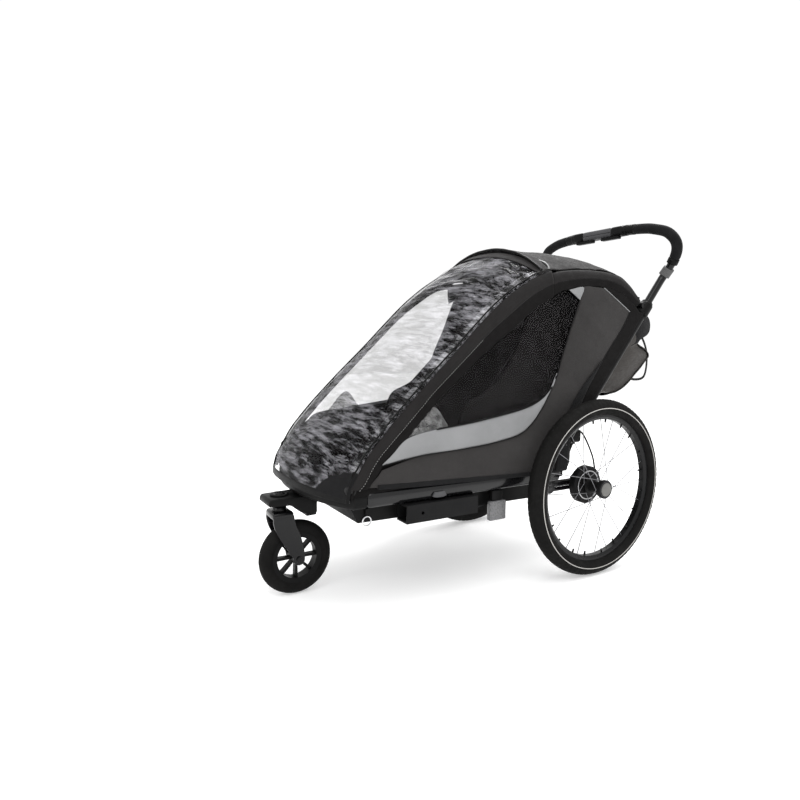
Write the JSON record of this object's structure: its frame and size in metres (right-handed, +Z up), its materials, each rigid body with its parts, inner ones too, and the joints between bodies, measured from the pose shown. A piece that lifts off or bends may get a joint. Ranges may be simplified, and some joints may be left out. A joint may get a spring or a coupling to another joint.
{
  "type": "child bicycle trailer",
  "caption": "Covered child trailer on two sprung spoked wheels and a front caster, with a clear cover, push handle, tow bar socket, drum brakes and a folding frame.",
  "frame": {"origin": "middle of the footprint on the ground, under the trailer", "axes": "+Z up, the nose and the front caster towards -Y, the push handle towards +Y, +X the trailer's left side as it travels"},
  "size_m": [0.646, 1.252, 1.031],
  "materials": {
    "black_frame": "satin black powder coat",
    "gloss_black_plastic": "glossy moulded plastic",
    "black_plastic": "fine grained moulded plastic",
    "grey_plastic": "fine grained moulded plastic",
    "tyre_rubber": "matte moulded tyre rubber",
    "black_rim": "satin black anodised",
    "steel": "bright steel",
    "spoke_steel": "drawn stainless steel",
    "charcoal_fabric": "coated polyester weave",
    "black_fabric": "woven polyester",
    "clear_film": "clear flexible PVC film",
    "foam_grip": "closed cell foam",
    "reflector": "prismatic clear plastic",
    "cable_black": "cable housing"
  },
  "bodies": {
    "chassis": {"left_side_rail": "gloss_black_plastic", "right_side_rail": "gloss_black_plastic", "nose_bumper": "gloss_black_plastic", "floor_tray": "black_plastic", "pivot_cross_tube": "black_frame", "tow_socket": "black_plastic", "caster_arm": "black_plastic", "fold_brackets": "black_frame", "pivot_bolts": "steel", "side_reflectors": "reflector", "seat_cushion": "black_fabric", "left_side_panel": "charcoal_fabric", "right_side_panel": "charcoal_fabric", "brake_lever_housings": "black_plastic", "brake_cables": "cable_black"},
    "tow_lock": {"tow_lock_button": "grey_plastic"},
    "caster_clip": {"caster_release_clip": "black_plastic"},
    "tether": {"tether_ring": "steel"},
    "caster": {"caster_fork": "black_frame", "caster_stem": "steel", "caster_axle": "steel"},
    "caster_roller": {"caster_tyre": "tyre_rubber", "caster_wheel": "black_plastic"},
    "back_frame": {"left_upright": "black_frame", "right_upright": "black_frame", "back_cross_tube": "black_frame", "seat_back": "black_fabric", "rear_panel": "black_fabric", "storage_bag": "charcoal_fabric", "harness": "black_fabric"},
    "handle": {"handle_frame": "black_frame", "handle_grip": "foam_grip", "handle_unit": "grey_plastic"},
    "paddles": {"release_paddles": "black_plastic"},
    "hoop": {"front_hoop": "black_frame", "front_cover": "clear_film"},
    "roof": {"roof_rails": "black_frame", "roof_canopy": "charcoal_fabric"},
    "left_arm": {"left_swing_arm": "black_frame", "left_brake_backplate": "black_plastic", "left_axle": "steel"},
    "left_wheel": {"left_tyre": "tyre_rubber", "left_rim": "black_rim", "left_spokes": "spoke_steel", "left_hub": "gloss_black_plastic", "left_wheel_bearings": "steel", "left_brake_drum": "black_plastic"},
    "left_button": {"left_release_button": "grey_plastic"},
    "left_lever": {"left_brake_lever": "black_plastic"},
    "right_arm": {"right_swing_arm": "black_frame", "right_brake_backplate": "black_plastic", "right_axle": "steel"},
    "right_wheel": {"right_tyre": "tyre_rubber", "right_rim": "black_rim", "right_spokes": "spoke_steel", "right_hub": "gloss_black_plastic", "right_wheel_bearings": "steel", "right_brake_drum": "black_plastic"},
    "right_button": {"right_release_button": "grey_plastic"},
    "right_lever": {"right_brake_lever": "black_plastic"}
  },
  "joints": [
    {"name": "frame_fold", "type": "hinge", "parent": "chassis", "child": "back_frame", "pos_m": [0, 0.173, 0.352], "axis": [-1, 0, 0], "range_deg": [0, 34], "deforming": ["left_side_panel", "right_side_panel"]},
    {"name": "hoop_fold", "type": "hinge", "parent": "chassis", "child": "hoop", "pos_m": [0, -0.486, 0.314], "axis": [-1, 0, 0], "range_deg": [0, 25.5]},
    {"name": "roof_fold", "type": "hinge", "parent": "back_frame", "child": "roof", "pos_m": [0, 0.4895, 0.77], "axis": [1, 0, 0], "range_deg": [0, 43.5]},
    {"name": "handle_telescope", "type": "slide", "parent": "back_frame", "child": "handle", "axis": [0, 0.6307, 0.776], "range_m": [-0.075, 0]},
    {"name": "handle_release", "type": "slide", "parent": "handle", "child": "paddles", "axis": [0, 0, 1], "range_m": [0, 0.003], "stiffness_N_per_m": 800, "springref_m": -0.003},
    {"name": "left_suspension", "type": "hinge", "parent": "chassis", "child": "left_arm", "pos_m": [0.205, 0.141, 0.249], "axis": [1, 0, 0], "range_deg": [0, 9], "stiffness_Nm_per_rad": 80, "springref_deg": -17.19, "deforming": ["brake_cables"]},
    {"name": "left_wheel_spin", "type": "hinge", "parent": "left_arm", "child": "left_wheel", "pos_m": [0.285, 0.258, 0.25], "axis": [1, 0, 0], "continuous": true},
    {"name": "left_wheel_release", "type": "slide", "parent": "left_arm", "child": "left_button", "axis": [-1, 0, 0], "range_m": [0, 0.003], "stiffness_N_per_m": 1200, "springref_m": -0.003},
    {"name": "left_brake", "type": "hinge", "parent": "chassis", "child": "left_lever", "pos_m": [0.193, 0.258, 0.382], "axis": [1, 0, 0], "range_deg": [0, 17]},
    {"name": "right_suspension", "type": "hinge", "parent": "chassis", "child": "right_arm", "pos_m": [-0.205, 0.141, 0.249], "axis": [1, 0, 0], "range_deg": [0, 9], "stiffness_Nm_per_rad": 80, "springref_deg": -17.19},
    {"name": "right_wheel_spin", "type": "hinge", "parent": "right_arm", "child": "right_wheel", "pos_m": [-0.285, 0.258, 0.25], "axis": [1, 0, 0], "continuous": true},
    {"name": "right_wheel_release", "type": "slide", "parent": "right_arm", "child": "right_button", "axis": [1, 0, 0], "range_m": [0, 0.003], "stiffness_N_per_m": 1200, "springref_m": -0.003},
    {"name": "right_brake", "type": "hinge", "parent": "chassis", "child": "right_lever", "pos_m": [-0.193, 0.258, 0.382], "axis": [1, 0, 0], "range_deg": [0, 17]},
    {"name": "caster_swivel", "type": "hinge", "parent": "chassis", "child": "caster", "pos_m": [0, -0.577, 0.24], "axis": [0, 0, 1], "continuous": true},
    {"name": "caster_spin", "type": "hinge", "parent": "caster", "child": "caster_roller", "pos_m": [0, -0.529, 0.096], "axis": [1, 0, 0], "continuous": true},
    {"name": "caster_clip_release", "type": "hinge", "parent": "chassis", "child": "caster_clip", "pos_m": [0, -0.483, 0.208], "axis": [1, 0, 0], "range_deg": [0, 25], "stiffness_Nm_per_rad": 0.5, "springref_deg": -22.92},
    {"name": "tow_lock_pull", "type": "slide", "parent": "chassis", "child": "tow_lock", "axis": [1, 0, 0], "range_m": [0, 0.006], "stiffness_N_per_m": 700, "springref_m": -0.004},
    {"name": "tether_swing", "type": "hinge", "parent": "chassis", "child": "tether", "pos_m": [0.209, -0.432, 0.2425], "axis": [1, 0, 0], "range_deg": [-25, 25]}
  ],
  "couplings": [
    {"joint": "hoop_fold", "follows": "frame_fold", "ratio": 0.745},
    {"joint": "roof_fold", "follows": "frame_fold", "ratio": 1.27}
  ]
}
